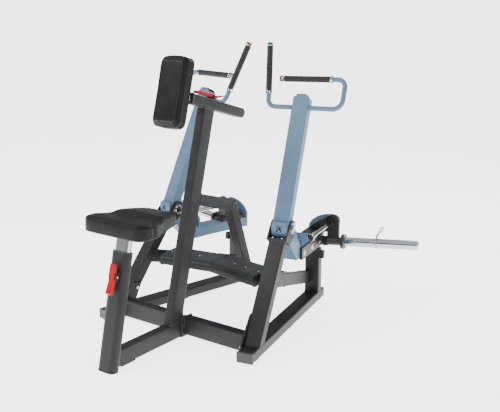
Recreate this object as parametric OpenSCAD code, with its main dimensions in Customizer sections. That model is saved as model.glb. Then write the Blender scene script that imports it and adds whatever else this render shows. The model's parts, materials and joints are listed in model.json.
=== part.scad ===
// Plate-loaded seated row with a chest pad and two independent lever arms.
// Millimetres, +Z up, +Y the way the user faces, +X the user's right.
// The origin is on the floor in the centre plane, midway between the seat end and the horn tips.
//
// Each side frame has its own axes: t outward, s rearward, z up, from its front foot.
// The left side is the right side mirrored in the centre plane.

/* [Layout] */
// Distance from the datum in front of the seat post to the origin
origin_y = 791; // [780:1:800]
// Turn of each side frame towards the centre plane at its rear, in degrees
frame_yaw = 12; // [10:0.5:14]
// Half the distance between the front feet
foot_x = 457; // [450:1:470]
// Distance from the datum to the front feet
foot_y = 497; // [490:1:505]

/* [Side frames] */
// Width of the side frame tubes
side_w = 81; // [76:1:84]
// Depth of the side frame tubes
side_d = 50; // [48:1:52]
// Length of a base tube with its end caps
base_l = 998; // [990:1:1010]
// Top of the base tubes above the floor
base_top = 56; // [56:1:60]
// Rearward lean of the front uprights, in degrees
upright_lean = 34.9; // [34:0.1:36]
// Front face of the rear posts, along the side frame
post_s = 897; // [890:1:900]
// Top of the rear posts
post_top = 298; // [290:1:300]
// Downward slope of the mid braces to the rear, in degrees
brace_drop = 14.7; // [14:0.1:15]

/* [Centre frame] */
// Width of the centre tubes
centre_w = 52; // [50:1:54]
// Rearward lean of the mast, in degrees; the pad sleeve is square to it
mast_lean = 15.3; // [15:0.1:15.6]
// Rearward lean of the seat sleeve, in degrees
sleeve_lean = 12.8; // [12.5:0.1:13]
// Top of the base beam
beam_top = 86; // [84:1:88]
// Wall of the frame tubes
wall = 3; // [2.5:0.5:4]

/* [Seat and chest pad] */
// Greatest width of the seat
seat_w = 380; // [360:5:400]
// Underside of the seat cushion
seat_z = 611; // [608:1:614]
// Thickness of the seat cushion
seat_t = 58; // [50:1:62]
// Width of the chest pad
pad_w = 170; // [160:1:180]
// Height of the chest pad
pad_h = 338; // [310:1:345]
// Thickness of the chest pad
pad_t = 68; // [60:1:70]

/* [Arms] */
// Pivot of an arm along the side frame
pivot_s = 459; // [457:1:461]
// Height of the arm pivots
pivot_z = 531; // [529:1:533]
// Width of the arm tubes
arm_w = 86; // [84:1:86]
// Depth of the arm tubes
arm_d = 55; // [52:1:58]
// Rearward lean of the arms at rest, in degrees
arm_lean = 24; // [23.5:0.1:24.5]
// Diameter of the handle tubes
handle_d = 25; // [24:1:28]
// Diameter of the rubber grips
grip_d = 32; // [30:1:34]
// Diameter of the pivot shafts
shaft_d = 30; // [28:1:32]

/* [Weight carriages] */
// Diameter of the weight horns, for plates with a 50 mm bore
horn_d = 50; // [49:0.5:50]
// Upward tilt of the horns, in degrees
horn_tilt = 3.7; // [3:0.1:5]
// Diameter of the guide rods
rod_d = 26; // [25:1:28]
// Radial clearance of the turning and sliding fits
fit_gap = 0.06; // [0.03:0.01:0.1]

/* [Hidden] */
$fn = 48;

RIGHT = 1;
LEFT = -1;
charcoal = [0.22, 0.22, 0.23];
steel_blue = [0.36, 0.46, 0.56];
chrome = [0.8, 0.8, 0.82];
black = [0.08, 0.08, 0.08];
red = [0.8, 0.1, 0.15];
gap = 0.4;            // free space between pieces that move past each other
tube_r = 6;           // corner radius of the frame tubes
long = 3000;          // longer than anything in the model

// Side frame levels
foot_pad = 6;
cap_t = 10;
side_half = side_w / 2;
up_dir = [sin(upright_lean), cos(upright_lean)];
up_side = [cos(upright_lean), -sin(upright_lean)];
up_top = [399.5, 473.7];
brace_ref = [434, 298];
brace_h = 70;

// Clevis, in axes square to the top of the upright: u rearward, v along the upright
clevis_base = 10;
cheek_in = arm_w / 2 + 2;
cheek_t = 8;
cheek_out = cheek_in + cheek_t;
pivot = [pivot_s, pivot_z];
pivot_v = (pivot - up_top) * up_dir;
pivot_u = (pivot - up_top) * up_side;
bearing_r = 26;
flange_r = 30;
flange_t = 2;
hub_r = 46;

// Centre frame lines
mast_slope = tan(mast_lean);
mast_d = 80;
mast_y = 501.2;       // centre line of the mast carried down to the floor
pad_axis_y = 679;     // mouth of the pad sleeve
pad_axis_z = 1167;
pad_sleeve_w = 60;
pad_sleeve_h = 50;
pad_sleeve_l = 395;
sleeve_slope = tan(sleeve_lean);
sleeve_w = 104;
sleeve_d = 52;
sleeve_y = 87.7;      // centre line of the seat sleeve carried down to the floor
sleeve_top = 525;
brace_drop_c = 16.6;
liner_t = 3.5;
bar_z = 14;           // underside of the ground crossbars
bar_h = 90;
bar_y = 575.6;        // front face of the ground crossbars
bar_d = 52;
beam_end = 640;

// Arm and lever lines, in side frame axes
arm_top_z = 1156;
arm_front = [410, 525];
lever_bottom = 343;
lever_top = 398;
lever_end = 970;
rod_t = 98;
rod_z = 456;
bracket_s = 606;
bracket_t = 12;
hood_s = 958;
hood_t = 12;
carriage_s = 905;
carriage_plate = 20;
horn_s = 905;
horn_z = 360;         // height of the horn's axis at its stop flange
horn_t = 165;         // inner face of the stop flange
horn_flange = 14;
horn_l = 400;
clip_t = 350;
rail_t = 13;

// ---------- helpers ----------

// Moves the datum to the origin.
module place() translate([0, -origin_y, 0]) children();

// Axes of one side frame: x is t, y is s.
module side(k) place() mirror([k < 0 ? 1 : 0, 0, 0]) translate([foot_x, foot_y, 0])
    rotate([0, 0, frame_yaw]) children();

// A profile drawn as [along, up], carried across from x = a to x = b.
module across(a, b) translate([a, 0, 0]) rotate([90, 0, 90]) linear_extrude(b - a) children();

// A profile drawn as [t, z], carried rearward from s = a to s = b.
module rearward(a, b) translate([0, b, 0]) rotate([90, 0, 0]) linear_extrude(b - a) children();

module round_rect(w, h, r) {
    square([w - 2 * r, h], center = true);
    square([w, h - 2 * r], center = true);
    for (x = [-1, 1], y = [-1, 1]) translate([x * (w / 2 - r), y * (h / 2 - r)]) circle(r);
}

// A flat-sided oval, wider in x.
module oval(w, h) {
    square([w - h, h], center = true);
    for (x = [-1, 1]) translate([x * (w - h) / 2, 0]) circle(h / 2);
}

module rect_ring(w, h, t, r) difference() {
    round_rect(w, h, r);
    round_rect(w - 2 * t, h - 2 * t, max(r - t, 0.5));
}

// Turns an upright shape at p = [along, up] to lean rearward by an angle.
module lean(p, angle) translate([0, p[0], p[1]]) rotate([-angle, 0, 0]) children();

// A rectangular tube along [along, up] from p to q.
module beam(p, q, w, h, t = wall, r = tube_r) {
    d = q - p;
    lean(p, 90 - atan2(d[1], d[0])) linear_extrude(norm(d)) rect_ring(w, h, t, r);
}

// A hexagon socket screw head with its axis along z.
module screw_head(r, h) difference() {
    cylinder(r = r, h = h);
    translate([0, 0, h * 0.4]) cylinder(r = r * 0.5, h = h, $fn = 6);
}

// A round bar from p to q, both [x, y, z].
module rod(p, q, r) {
    d = q - p;
    translate(p) rotate([0, acos(d[2] / norm(d)), atan2(d[1], d[0])]) cylinder(r = r, h = norm(d));
}

// ---------- centre frame ----------

module base_beam() color(charcoal) place() intersection() {
    beam([0, (beam_top + foot_pad) / 2], [beam_end, (beam_top + foot_pad) / 2], centre_w - 2,
        beam_top - foot_pad);
    across(-long, long) polygon([[sleeve_rear(foot_pad), foot_pad],
        [sleeve_rear(beam_top), beam_top], [beam_end, beam_top], [beam_end, foot_pad]]);
}

function sleeve_rear(z) = sleeve_y + sleeve_slope * z + sleeve_d / 2 / cos(sleeve_lean);
function mast_rear(z) = mast_y + mast_slope * z + mast_d / 2 / cos(mast_lean);

// Underside of the pad sleeve where the mast's centre line meets it.
sleeve_under = pad_axis_z - pad_sleeve_h / 2 / cos(mast_lean);
mast_top_z = (sleeve_under + mast_slope * (pad_axis_y - mast_y)) / (1 + mast_slope * mast_slope);
mast_top = [mast_y + mast_slope * mast_top_z, mast_top_z];

module mast() color(charcoal) place() intersection() {
    beam([mast_y, 0], mast_top, centre_w, mast_d, wall, 8);
    translate([-long / 2, 0, beam_top]) cube(long);
}

brace_top_end = [1013, 614];
brace_low_end = [957, 570];
brace_depth = 60;

module upper_brace() color(charcoal) place() {
    drop = [cos(brace_drop_c), -sin(brace_drop_c)];
    down = [-sin(brace_drop_c), -cos(brace_drop_c)];
    mid = brace_top_end + down * brace_depth / 2;
    intersection() {
        beam(mid - drop * 400, mid + drop * 60, centre_w - 2, brace_depth);
        across(-long, long) polygon([[mast_rear(450), 450], [mast_rear(750), 750],
            brace_top_end + (brace_top_end - brace_low_end) * 0.5, brace_low_end
            + (brace_low_end - brace_top_end) * 0.5]);
    }
}

leg_lean = 20;
leg_foot_z = 236;

module rear_leg() color(charcoal) place() {
    dir = [sin(leg_lean), -cos(leg_lean)];
    mid = brace_top_end - [cos(leg_lean), sin(leg_lean)] * 30;
    intersection() {
        beam(mid - dir * 60, mid + dir * 500, centre_w - 2, brace_depth);
        across(-long, long) polygon([brace_top_end + (brace_top_end - brace_low_end) * 0.5,
            brace_low_end + (brace_low_end - brace_top_end) * 0.5, [900, leg_foot_z],
            [1300, leg_foot_z], [1300, 700]]);
    }
}

module seat_sleeve() color(charcoal) place() {
    intersection() {
        lean([sleeve_y, 0], sleeve_lean) difference() {
            linear_extrude(sleeve_top / cos(sleeve_lean)) difference() {
                oval(sleeve_w, sleeve_d);
                oval(sleeve_w - 8, sleeve_d - 8);
            }
        }
        translate([-long / 2, -long / 2, foot_pad]) cube(long);
    }
    for (x = [-1, 1]) lever_ear(x);
}

// One ear of the seat lever's bracket, on the sleeve's front face.
seat_lever_at = [144, 428];
seat_pin_r = 4;

module lever_ear(x) difference() {
    across(x * 19.5 - 2.5, x * 19.5 + 2.5) polygon([seat_lever_at + [-9, -12],
        [sleeve_front(406), 406], [sleeve_front(450), 450], seat_lever_at + [-9, 10]]);
    translate([0, seat_lever_at[0], seat_lever_at[1]]) rotate([0, 90, 0])
        cylinder(r = seat_pin_r, h = 80, center = true);
}

function sleeve_front(z) = sleeve_y + sleeve_slope * z - sleeve_d / 2 / cos(sleeve_lean);

// Plan of one ground crossbar half, from the beam's flange to the upright's flange.
bar_flange = 8;
bar_in = centre_w / 2 - 1 + bar_flange;
function inner_face_x(y, t) = foot_x + (t - (y - foot_y) * sin(frame_yaw)) / cos(frame_yaw);

module crossbar(k) mirror([k < 0 ? 1 : 0, 0, 0]) {
    t = -side_half - bar_flange;
    y2 = bar_y + bar_d;
    intersection() {
        translate([0, bar_y + bar_d / 2, bar_z + bar_h / 2]) rotate([0, 90, 0])
            linear_extrude(600) rect_ring(bar_h, bar_d, wall, tube_r);
        linear_extrude(300) polygon([[bar_in, bar_y], [bar_in, y2], [inner_face_x(y2, t), y2],
            [inner_face_x(bar_y, t), bar_y]]);
    }
    difference() {
        translate([bar_in - bar_flange, bar_y - 20, 10]) cube([bar_flange, bar_d + 28, 98]);
        translate([0, 500, beam_top]) cube([centre_w / 2 + 0.2, 200, 60]);
    }
}

// Flange between a crossbar and its upright, in side frame axes.
module upright_flange() across(-side_half - bar_flange, -side_half) polygon([[54, 34], [150, 34],
    [up_front(176) + 52, 176], [up_front(176) + 4, 176], [54, 64]]);

function up_front(z) = up_top[0] + (z - up_top[1]) * tan(upright_lean)
    - side_d / 2 / cos(upright_lean);

module crossbars() color(charcoal) {
    place() for (k = [LEFT, RIGHT]) crossbar(k);
    for (k = [LEFT, RIGHT]) side(k) upright_flange();
}

// Foot rail under the foot plates, and the rail that carries the rear leg.
rail_front = 846;
rail_z = 258;
rail_d = 80;
rail_h = 50;
leg_rail_y = 1060;
leg_rail_z = 176;

module cross_rail(y, z, d, h) intersection() {
    translate([-500, y + d / 2, z + h / 2]) rotate([0, 90, 0]) linear_extrude(1000)
        rect_ring(h, d, wall, tube_r);
    linear_extrude(600) polygon([for (p = [[-1, y], [1, y], [1, y + d], [-1, y + d]])
        [p[0] * inner_face_x(p[1], -side_half), p[1]]]);
}

module cross_rails() color(charcoal) place() {
    cross_rail(rail_front, rail_z, rail_d, rail_h);
    cross_rail(leg_rail_y, leg_rail_z, 80, leg_foot_z - leg_rail_z);
}

// Two bent foot plates over the foot rail, each with a rounded front lip.
plate_x = 304;
plate_l = 168;
plate_front = 814;
plate_top = 315;
plate_turn = 9;
lip_r = 30;
lip_low = 270;

module foot_profile() difference() {
    union() {
        translate([lip_r, plate_top - lip_r]) circle(lip_r);
        translate([lip_r, plate_top - 7]) square([plate_l - lip_r, 7]);
        translate([0, lip_low]) square([7, plate_top - lip_r - lip_low]);
    }
    translate([lip_r, plate_top - lip_r]) circle(lip_r - 7);
    translate([7, 200]) square([300, plate_top - lip_r - 200]);
    translate([lip_r, 200]) square([300, plate_top - 7 - 200]);
}

// The end plate closes the profile's outer end above the lip's lower edge.
module foot_end() {
    translate([lip_r, plate_top - lip_r]) circle(lip_r);
    translate([lip_r, plate_top - 7]) square([plate_l - lip_r, 7]);
    translate([0, lip_low]) square([lip_r, plate_top - lip_r - lip_low]);
    polygon([[lip_r, lip_low], [lip_r, plate_top - 7], [70, plate_top - 7]]);
}

module foot_plate() intersection() {
    translate([0, plate_front, 0]) rotate([0, 0, -plate_turn]) {
        across(-60, plate_x) foot_profile();
        across(plate_x - 4, plate_x) foot_end();
    }
    translate([1, 700, 200]) cube(400);
}

module foot_plates() color(charcoal) place() for (k = [0, 1]) mirror([k, 0, 0]) foot_plate();

// ---------- side frames ----------

module base_tube(k) color(charcoal) side(k)
    beam([cap_t, (base_top + foot_pad) / 2], [base_l - cap_t, (base_top + foot_pad) / 2], side_w,
        base_top - foot_pad);

module upright(k) color(charcoal) side(k) intersection() {
    beam(up_top - up_dir * 600, up_top, side_w, side_d);
    translate([-long / 2, -long / 2, base_top]) cube(long);
}

module rear_post(k) color(charcoal) side(k)
    translate([0, post_s + 27.5, base_top]) linear_extrude(post_top - base_top)
        rect_ring(side_w, 55, wall, tube_r);

function brace_z(s) = brace_ref[1] - (s - brace_ref[0]) * tan(brace_drop);

// The brace is flush with the inner faces, between the upright and the post.
brace_w = 30;

module mid_brace(k) side(k) intersection() {
    h = brace_h * cos(brace_drop);
    translate([(brace_w - side_w) / 2, 0, 0])
        beam([100, brace_z(100) - brace_h / 2], [1000, brace_z(1000) - brace_h / 2], brace_w, h,
            wall, 4);
    across(-long, long) polygon([[up_front(100) + side_d / cos(upright_lean), 100],
        [up_front(440) + side_d / cos(upright_lean), 440], [post_s, 440], [post_s, 100]]);
}

module mid_braces() color(charcoal) for (k = [LEFT, RIGHT]) mid_brace(k);

// Runs children in the clevis axes: u is y, v is z.
module at_upright_top() lean(up_top, upright_lean) children();

module clevis(k) color(black) side(k) difference() {
    at_upright_top() {
        translate([-cheek_out, -32, 0]) cube([2 * cheek_out, 64, clevis_base]);
        for (x = [-1, 1]) translate([x * (cheek_in + cheek_t / 2), 0, 0])
            across(-cheek_t / 2, cheek_t / 2) {
                polygon([[-32, clevis_base], [pivot_u - 42, pivot_v], [pivot_u + 42, pivot_v],
                    [pivot_u + 36, pivot_v - 30], [32, clevis_base]]);
                translate([pivot_u, pivot_v]) circle(42);
            }
    }
    at_pivot() cylinder(r = bearing_r, h = 200, center = true);
}

// Runs children with z along the pivot's axis, outward.
module at_pivot() translate([0, pivot_s, pivot_z]) rotate([0, 90, 0]) children();

module bearing(x) mirror([x < 0 ? 1 : 0, 0, 0]) at_pivot() difference() {
    union() {
        translate([0, 0, cheek_in]) cylinder(r = bearing_r, h = cheek_t);
        translate([0, 0, cheek_out]) cylinder(r = flange_r, h = flange_t);
    }
    cylinder(r = shaft_d / 2 + fit_gap, h = 200);
}

module pivot_bearings() color(chrome) for (k = [LEFT, RIGHT]) side(k) for (x = [-1, 1]) bearing(x);

// A buffer on each post and a stop block on its outer face.
buffer_r = 24;

module stop_bumper() {
    translate([0, post_s + 27.5, post_top + foot_pad]) cylinder(r = buffer_r,
        h = lever_bottom - gap - post_top - foot_pad);
    translate([side_half, post_s - 7, 257]) cube([25, 32, 41]);
}

module stop_bumpers() color(black) for (k = [LEFT, RIGHT]) side(k) stop_bumper();

module rubber_feet() color(black) {
    for (k = [LEFT, RIGHT]) side(k) for (s = [40, 480, 920])
        translate([-side_half + 6, s, 0]) cube([side_w - 12, 50, foot_pad]);
    place() {
        lean([sleeve_y, 0], 0) linear_extrude(foot_pad) oval(sleeve_w + 2, sleeve_d + 3);
        translate([-centre_w / 2 + 3, 150, 0]) cube([centre_w - 6, 90, foot_pad]);
        translate([-centre_w / 2 + 3, 560, 0]) cube([centre_w - 6, 60, foot_pad]);
    }
}

module base_cap() translate([0, 0, (base_top + foot_pad) / 2 - 1]) rotate([-90, 0, 0])
    linear_extrude(cap_t) round_rect(side_w + 2, base_top - foot_pad + 2, tube_r);

module end_caps() color(black) {
    for (k = [LEFT, RIGHT]) side(k) {
        base_cap();
        translate([0, base_l - cap_t, 0]) base_cap();
        for (v = [-207, -279, -358]) at_upright_top() translate([24, side_d / 2, v])
            rotate([-90, 0, 0]) cylinder(r1 = 9, r2 = 7, h = 5);
        translate([0, post_s + 27.5, post_top]) linear_extrude(foot_pad)
            round_rect(side_w + 1, 56, tube_r);
    }
    place() {
        at_pad_axis() difference() {
            translate([0, 0, pad_sleeve_l]) rotate([0, 90, 0])
                cylinder(r = pad_sleeve_h / 2, h = pad_sleeve_w, center = true);
            translate([-50, -50, pad_sleeve_l - 100]) cube(100);
        }
        translate([0, beam_end, (beam_top + foot_pad) / 2]) rotate([-90, 0, 0])
            linear_extrude(4) round_rect(centre_w - 2, beam_top - foot_pad, tube_r);
    }
}

// Axes of the pad sleeve: z runs along it from its mouth to the rear, y is up.
module at_pad_axis() translate([0, pad_axis_y, pad_axis_z]) rotate([-90 - mast_lean, 0, 0])
    rotate([0, 0, 180]) children();

module pad_sleeve() color(charcoal) place() difference() {
    at_pad_axis() linear_extrude(pad_sleeve_l) rect_ring(pad_sleeve_w, pad_sleeve_h, 4, 8);
}

module sleeve_liners() color(black) place() {
    at_pad_axis() {
        translate([0, 0, -8]) linear_extrude(8) difference() {
            round_rect(pad_sleeve_w + 4, pad_sleeve_h + 4, 8);
            round_rect(pad_tube_w + 1, pad_tube_h + 1, 4);
        }
        linear_extrude(70) difference() {
            round_rect(pad_sleeve_w - 8, pad_sleeve_h - 8, 4);
            round_rect(pad_tube_w + 1, pad_tube_h + 1, 4);
        }
    }
    lean([sleeve_y, 0], sleeve_lean) translate([0, 0, sleeve_top / cos(sleeve_lean)]) {
        linear_extrude(5) difference() {
            oval(sleeve_w, sleeve_d);
            oval(post_w + 1, post_d + 1);
        }
        translate([0, 0, -70]) linear_extrude(70) difference() {
            oval(sleeve_w - 8, sleeve_d - 8);
            oval(post_w + 1, post_d + 1);
        }
    }
}

// Bolts of the frame: crossbar flanges, upright gussets, foot plates and lever pins.
module frame_bolts() color(chrome) {
    for (k = [LEFT, RIGHT]) side(k) {
        for (p = [[71, 48], [up_front(150) + 40, 150]])
            translate([-side_half - bar_flange, p[0], p[1]]) rotate([0, -90, 0])
                screw_head(8, 6);
        for (x = [-1, 1]) at_upright_top() translate([x * 24, -21, clevis_base])
            screw_head(6, 5);
    }
    place() {
        for (x = [-1, 1], z = [30, 66]) translate([x * bar_in, bar_y - 10, z])
            rotate([0, x * 90, 0]) screw_head(5, 5);
        for (x = [-1, 1], p = [[134, 861], [254, 858], [80, 932]])
            translate([x * p[0], p[1], plate_top]) screw_head(7, 4);
        translate([-26, seat_lever_at[0], seat_lever_at[1]]) rotate([0, 90, 0])
            cylinder(r = seat_pin_r, h = 52);
        pad_lever_frame() rotate([0, 90, 0]) cylinder(r = 5, h = 44, center = true);
        pad_lever_frame() for (x = [-1, 1]) translate([x * 19.5 - 2.5, -10, -14])
            difference() {
                cube([5, 20, 22]);
                translate([-1, 10, 14]) rotate([0, 90, 0]) cylinder(r = 5, h = 10);
            }
    }
}

// ---------- seat ----------

post_w = 86;
post_d = 36;
seat_plate_t = 8;

module seat_post() color(chrome) place() intersection() {
    lean([sleeve_y, 0], sleeve_lean) translate([0, 0, 230]) linear_extrude(500) difference() {
        oval(post_w, post_d);
        oval(post_w - 6, post_d - 6);
    }
    translate([-long / 2, -long / 2, seat_z - seat_plate_t - long]) cube(long);
}

module seat_plate() color(black) place() translate([-70, 160, seat_z - seat_plate_t])
    cube([140, 250, seat_plate_t]);

module seat_outline() hull() {
    for (x = [-1, 1]) {
        translate([x * (seat_w / 2 - 60), 133 + 60]) circle(60, $fn = 32);
        translate([x * (seat_w / 2 - 60 - 20), 133 + 95]) circle(60, $fn = 32);
        translate([x * 75, seat_nose - 35]) circle(35, $fn = 32);
    }
}

seat_nose = 471;
lip_y = 320;
lip_h = 15;

module seat_cushion() color(black) place() {
    translate([0, 0, seat_z]) linear_extrude(seat_t) seat_outline();
    translate([0, 0, seat_z + seat_t]) linear_extrude(lip_h) intersection() {
        seat_outline();
        translate([-200, lip_y]) square([400, 200]);
    }
}

module seat_lever() color(red) place() difference() {
    across(-16, 16) {
        polygon([seat_lever_at + [10, 54], seat_lever_at + [0, 60], seat_lever_at + [-11, 22],
            seat_lever_at + [-18, -20], seat_lever_at + [-39, -66], seat_lever_at + [-35, -76],
            seat_lever_at + [-21, -74], seat_lever_at + [-4, -26], seat_lever_at + [5, 0]]);
        translate(seat_lever_at) circle(11);
    }
    translate([0, seat_lever_at[0], seat_lever_at[1]]) rotate([0, 90, 0])
        cylinder(r = seat_pin_r + fit_gap, h = 80, center = true);
}

// ---------- chest pad ----------

pad_tube_w = 43;
pad_tube_h = 33;
pad_gap = 91;         // from the back of the pad to the mouth of the sleeve
board_t = 6;

module pad_tube() color(chrome) place() at_pad_axis() translate([0, 0, board_t - pad_gap])
    linear_extrude(340) rect_ring(pad_tube_w, pad_tube_h, wall, 5);

module pad_plate() color(black) place() at_pad_axis() translate([0, 2, -pad_gap])
    linear_extrude(board_t) round_rect(110, 190, 12);

// The cushion's back is on the plate, and its front edge is bevelled all round.
bevel = 20;

module chest_pad() color(black) place() at_pad_axis() translate([0, 6, -pad_gap]) hull() {
    translate([0, 0, -pad_t + bevel]) linear_extrude(pad_t - bevel)
        round_rect(pad_w, pad_h, 14, $fn = 32);
    translate([0, 0, -pad_t]) linear_extrude(1)
        round_rect(pad_w - 2 * bevel, pad_h - 2 * bevel, 8, $fn = 32);
}

// Pivot of the pad lever, above the sleeve.
pad_lever_u = 170;
pad_lever_h = 14;

module pad_lever_frame() at_pad_axis() translate([0, pad_sleeve_h / 2 + pad_lever_h,
    pad_lever_u]) rotate([90, 0, 180]) rotate([0, 0, 180]) children();

module pad_lever() color(red) place() pad_lever_frame() rotate([0, 0, 180]) difference() {
    across(-13, 13) {
        polygon([[-128, -6], [-134, 0], [-126, 7], [-108, 10], [-30, 9], [-6, 10], [14, 9],
            [60, 15], [78, 20], [80, 16], [40, 4], [12, -8], [0, -11], [-12, -9], [-40, -4],
            [-100, -4]]);
    }
    rotate([0, 90, 0]) cylinder(r = 5 + fit_gap, h = 80, center = true);
}

// ---------- arms ----------

arm_dir = [sin(arm_lean), cos(arm_lean)];
arm_back = [cos(arm_lean), -sin(arm_lean)];
arm_mid = arm_front + arm_back * arm_d / 2;
arm_len = (arm_top_z - arm_mid[1]) / cos(arm_lean);
arm_cap_t = 6;

module arm_tube(k) color(steel_blue) side(k) difference() {
    intersection() {
        beam(arm_mid + arm_dir * 30, arm_mid + arm_dir * (arm_len - arm_cap_t), arm_w, arm_d,
            wall, 5);
        lean(arm_mid, arm_lean) rotate([90, 0, 0]) linear_extrude(200, center = true)
            arm_front_outline(arm_len - arm_cap_t);
    }
    at_pivot() cylinder(r = hub_r, h = 200, center = true);
    translate([0, handle_s, handle_z]) rotate([0, 90, 0])
        cylinder(r = handle_d / 2, h = 300, center = true);
}

// Front view of the arm, with its top corners cut off.
module arm_front_outline(l) polygon([[-arm_w / 2, -60], [arm_w / 2, -60],
    [arm_w / 2, arm_len - 18], [arm_w / 2 - 18, l], [-arm_w / 2 + 18, l],
    [-arm_w / 2, arm_len - 18]]);

module arm_cap(k) color(black) side(k) lean(arm_mid, arm_lean)
    translate([0, 0, arm_len - arm_cap_t]) linear_extrude(arm_cap_t)
        round_rect(arm_w - 34, arm_d, 4);

module arm_hub(k) color(steel_blue) side(k) difference() {
    at_pivot() cylinder(r = hub_r, h = arm_w, center = true);
    at_pivot() cylinder(r = shaft_d / 2, h = 200, center = true);
    translate([0, pivot_s, pivot_z + 4]) rotate([-90 - 3, 0, 0]) mirror([0, 0, 1])
        translate([0, 0, 38]) cylinder(r = 6, h = 20);
}

// Welded elbow and lever, with the rod's front bracket and the rear hood plate.
lever_wall = 4;
elbow = [[428, 497], [438, 461], [550, lever_bottom], [640, lever_bottom], [640, lever_top],
    [603, lever_top], [486, 560]];
elbow_bore = [[452, 497], [460, 465], [554, lever_bottom + 5], [636, lever_bottom + 5],
    [636, lever_top - 5], [598, lever_top - 5], [482, 545]];
lever_mid_z = (lever_top + lever_bottom) / 2;

module lower_lever(k) color(steel_blue) side(k) difference() {
    union() {
        difference() {
            across(-arm_w / 2, arm_w / 2) polygon(elbow);
            across(-arm_w / 2 + lever_wall, arm_w / 2 - lever_wall) polygon(elbow_bore);
            lean(arm_mid, arm_lean) translate([-100, -arm_d / 2, -60])
                cube([200, arm_d, 300]);
            at_pivot() cylinder(r = hub_r, h = 200, center = true);
        }
        beam([640, lever_mid_z], [lever_end - 4, lever_mid_z], arm_w, lever_top - lever_bottom,
            lever_wall, 5);
        translate([-arm_w / 2, lever_end - 4, lever_bottom])
            cube([arm_w, 4, lever_top - lever_bottom]);
        rearward(bracket_s, bracket_s + bracket_t) {
            polygon([[-arm_w / 2, lever_top], [-arm_w / 2, 452], [-arm_w / 2 + 20, rod_z + 16],
                [rod_t, rod_z + 16], [rod_t, rod_z - 16], [50, 412], [arm_w / 2, lever_top]]);
            translate([rod_t, rod_z]) circle(16);
        }
        rearward(hood_s, hood_s + hood_t) hood_outline();
    }
    translate([rod_t, 0, rod_z]) rotate([-90, 0, 0]) cylinder(r = rod_d / 2 - 5, h = 1200);
}

module hood_outline() {
    polygon([[-arm_w / 2, lever_top], [-arm_w / 2, 424], [-38, 436], [-28, 449], [-14, 462],
        [4, 474], [24, 483], [46, 489], [70, 493], [rod_t, 494], [rod_t, 418], [62, 408],
        [arm_w / 2, lever_top]]);
    translate([rod_t, rod_z]) circle(38);
}

module pivot_shaft(k) color(chrome) side(k) {
    at_pivot() cylinder(r = shaft_d / 2, h = 2 * (cheek_out + flange_t + gap), center = true);
    for (x = [0, 1]) mirror([x, 0, 0]) at_pivot()
        translate([0, 0, cheek_out + flange_t + gap]) {
            cylinder(r = 22, h = 5);
            translate([0, 0, 5]) cylinder(r1 = 22, r2 = 19, h = 2);
        }
}

// Centre line of the handle: inner upright grip, lower run, outer bend, level upper grip.
handle_s = 687;
handle_z = 1098;
grip_l = 245;
inner_top = [-222, 818, 1393];
corner_in = [-176, 687, 1098];
corner_out = [212, 687, 1098];
corner_up = [206, 770, 1237];
upper_in = [-128, 770, 1232];

// Rounded corner of radius r at b, coming from a and going to c.
module bent(a, b, c, r) {
    u = (a - b) / norm(a - b);
    v = (c - b) / norm(c - b);
    angle = acos(u * v);
    reach = r / tan(angle / 2);
    p = b + u * reach;
    n = cross(u, v) / norm(cross(u, v));
    side_dir = cross(n, u);
    multmatrix([[side_dir[0], u[0], -n[0], p[0] + side_dir[0] * r],
                [side_dir[1], u[1], -n[1], p[1] + side_dir[1] * r],
                [side_dir[2], u[2], -n[2], p[2] + side_dir[2] * r], [0, 0, 0, 1]])
        rotate([0, 0, 180]) rotate_extrude(angle = 180 - angle) translate([r, 0])
            circle(handle_d / 2 + bend_swell);
}

bend_in = 40;
bend_swell = 0.2;      // the tube thickens slightly where it is bent
bend_lap = 2;          // the straight parts run this far into the bends
bend_out = 48;
bend_up = 44;
function reach(a, b, c, r) = r / tan(acos((a - b) * (c - b) / norm(a - b) / norm(c - b)) / 2);
function toward(a, b, l) = a + (b - a) / norm(b - a) * l;

module handle(k) color(steel_blue) side(k) {
    r1 = reach(inner_top, corner_in, corner_out, bend_in) - bend_lap;
    r2 = reach(corner_in, corner_out, corner_up, bend_out) - bend_lap;
    r3 = reach(corner_out, corner_up, upper_in, bend_up) - bend_lap;
    rod(inner_top, toward(corner_in, inner_top, r1), handle_d / 2);
    bent(inner_top, corner_in, corner_out, bend_in);
    rod(toward(corner_in, corner_out, r1), toward(corner_out, corner_in, r2), handle_d / 2);
    bent(corner_in, corner_out, corner_up, bend_out);
    rod(toward(corner_out, corner_up, r2), toward(corner_up, corner_out, r3), handle_d / 2);
    bent(corner_out, corner_up, upper_in, bend_up);
    rod(toward(corner_up, upper_in, r3), upper_in, handle_d / 2);
}

// A hollow round sleeve between two points on a line.
module sleeve_on(p, q, a, b, r_in, r_out) difference() {
    rod(toward(p, q, a), toward(p, q, b), r_out);
    rod(toward(p, q, a - 1), toward(p, q, b + 1), r_in);
}

module grips(k) color(black) side(k) {
    sleeve_on(inner_top, corner_in, 4, 4 + grip_l - 2, handle_d / 2 + fit_gap, grip_d / 2);
    sleeve_on(upper_in, corner_up, 10, 10 + grip_l, handle_d / 2 + fit_gap, grip_d / 2);
}

// Chrome collars and end caps of both grips.
module handle_fittings(k) color(chrome) side(k) {
    for (e = [[inner_top, corner_in, 4], [upper_in, corner_up, 10]]) {
        sleeve_on(e[0], e[1], e[2] + grip_l, e[2] + grip_l + 12, handle_d / 2, grip_d / 2 + 2);
        rod(toward(e[0], e[1], -18), e[0], grip_d / 2 + 1);
        sleeve_on(e[0], e[1], 0.5, e[2], handle_d / 2, grip_d / 2 - 1);
    }
}

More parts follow.
